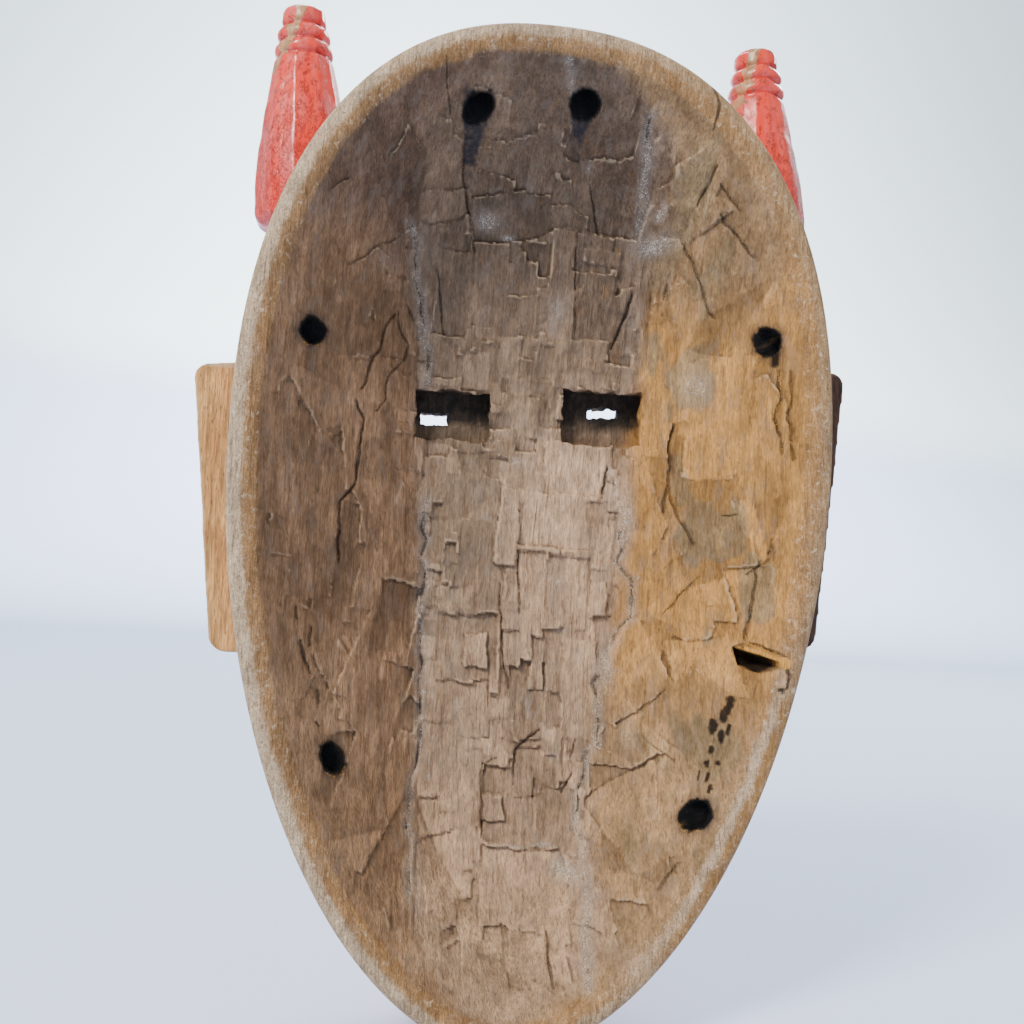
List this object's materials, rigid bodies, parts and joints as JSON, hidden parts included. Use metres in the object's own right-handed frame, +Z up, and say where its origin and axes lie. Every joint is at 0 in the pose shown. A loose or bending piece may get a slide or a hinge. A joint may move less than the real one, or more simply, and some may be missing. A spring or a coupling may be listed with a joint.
{
  "type": "mexican folk art mask",
  "caption": "Egg-shaped carved wooden dance mask, hollowed behind with eye slits and tie holes, with painted turned horns and slab ears pegged to its sides.",
  "frame": {"origin": "centre of the back rim's flat face, midway between crown and chin", "axes": "+Z up towards the crown and the horns, -Y out of the carved face, +Y out of the hollow towards the wearer, +X towards the wearer's left"},
  "size_m": [0.2254, 0.0957, 0.3463],
  "materials": {
    "carved_wood": "hand-carved light hardwood, bare and handled behind, painted red with worn edges in front",
    "ear_wood": "bare sawn wood behind, dark stained edges",
    "horn_paint": "worn coral-red paint on turned wood",
    "peg_wood": "bare whittled wood"
  },
  "bodies": {
    "root": {"mask_shell": "carved_wood", "horn_left": "horn_paint", "horn_right": "horn_paint", "ear_left": "ear_wood", "ear_right": "ear_wood", "horn_peg_left": "peg_wood", "horn_peg_right": "peg_wood", "ear_peg_left_upper": "peg_wood", "ear_peg_left_lower": "peg_wood", "ear_peg_right_upper": "peg_wood", "ear_peg_right_lower": "peg_wood"}
  },
  "joints": []
}
